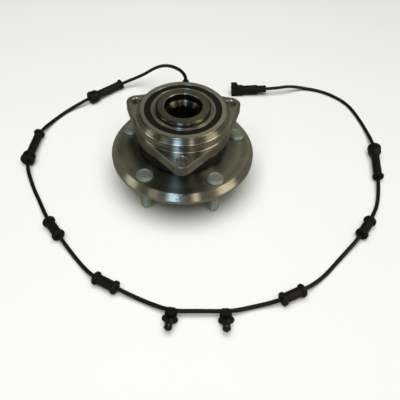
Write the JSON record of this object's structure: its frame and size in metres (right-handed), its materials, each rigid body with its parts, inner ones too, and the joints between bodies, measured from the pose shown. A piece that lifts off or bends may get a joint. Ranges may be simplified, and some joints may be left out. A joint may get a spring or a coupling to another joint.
{
  "type": "wheel hub bearing unit",
  "caption": "Wheel hub bearing unit: studded wheel flange on a splined spindle, turning in a three-lobed ball bearing ring, with a wheel speed sensor and its long clipped lead and plug.",
  "frame": {"origin": "on the spin axis, in the plane of the wheel mounting face that the studs stand out of", "axes": "+Z along the spin axis, from the wheel side towards the steering knuckle; +Y towards the speed sensor; +X to its right as seen from the knuckle side"},
  "size_m": [0.4359, 0.3843, 0.103],
  "materials": {
    "hub_forging": "turned bare steel forging",
    "outer_forging": "turned bare steel forging",
    "bearing_steel": "ground bearing steel",
    "bearing_ball": "lapped bearing steel",
    "zinc_plated_stud": "zinc plated",
    "cage_polyamide": "moulded polyamide",
    "sintered_steel": "sintered steel",
    "seal_sheet_steel": "pressed sheet steel",
    "slinger_stainless": "pressed stainless sheet",
    "seal_rubber": "moulded nitrile rubber",
    "sensor_plastic": "moulded glass-filled polyamide",
    "sensor_core": "potted sensing element",
    "lead_rubber": "moulded rubber",
    "lead_jacket": "extruded jacket",
    "sleeve_rubber": "moulded rubber",
    "clip_plastic": "moulded polyamide",
    "connector_plastic": "moulded plastic",
    "tinned_terminal": "tinned brass blade"
  },
  "bodies": {
    "outer": {"outer_ring": "outer_forging", "outboard_seal_case": "seal_sheet_steel", "outboard_seal_lip": "seal_rubber", "inboard_seal_case": "seal_sheet_steel", "inboard_seal_lip": "seal_rubber", "sensor_housing": "sensor_plastic", "sensor_element": "sensor_core", "sensor_o_ring": "seal_rubber", "sensor_bush": "seal_sheet_steel", "sensor_screw": "zinc_plated_stud", "strain_relief": "lead_rubber", "sensor_lead": "lead_jacket", "long_sleeve_1": "sleeve_rubber", "long_sleeve_2": "sleeve_rubber", "long_sleeve_3": "sleeve_rubber", "short_sleeve_1": "sleeve_rubber", "short_sleeve_2": "sleeve_rubber", "short_sleeve_3": "sleeve_rubber", "short_sleeve_4": "sleeve_rubber", "push_clip_1": "clip_plastic", "push_clip_2": "clip_plastic", "connector_boot": "lead_rubber", "connector_housing": "connector_plastic", "connector_terminals": "tinned_terminal"},
    "hub": {"hub_flange": "hub_forging", "inner_ring": "bearing_steel", "wheel_studs": "zinc_plated_stud", "tone_ring": "sintered_steel", "inboard_slinger": "slinger_stainless"},
    "outboard_row": {"outboard_cage": "cage_polyamide", "outboard_balls": "bearing_ball"},
    "inboard_row": {"inboard_cage": "cage_polyamide", "inboard_balls": "bearing_ball"}
  },
  "joints": [
    {"name": "hub_spin", "type": "hinge", "parent": "outer", "child": "hub", "pos_m": [0, 0, 0.0375], "axis": [0, 0, 1], "continuous": true},
    {"name": "outboard_row_spin", "type": "hinge", "parent": "outer", "child": "outboard_row", "pos_m": [0, 0, 0.0268], "axis": [0, 0, 1], "continuous": true},
    {"name": "inboard_row_spin", "type": "hinge", "parent": "outer", "child": "inboard_row", "pos_m": [0, 0, 0.0482], "axis": [0, 0, 1], "continuous": true}
  ],
  "couplings": [
    {"joint": "outboard_row_spin", "follows": "hub_spin", "ratio": 0.428},
    {"joint": "inboard_row_spin", "follows": "hub_spin", "ratio": 0.428}
  ]
}
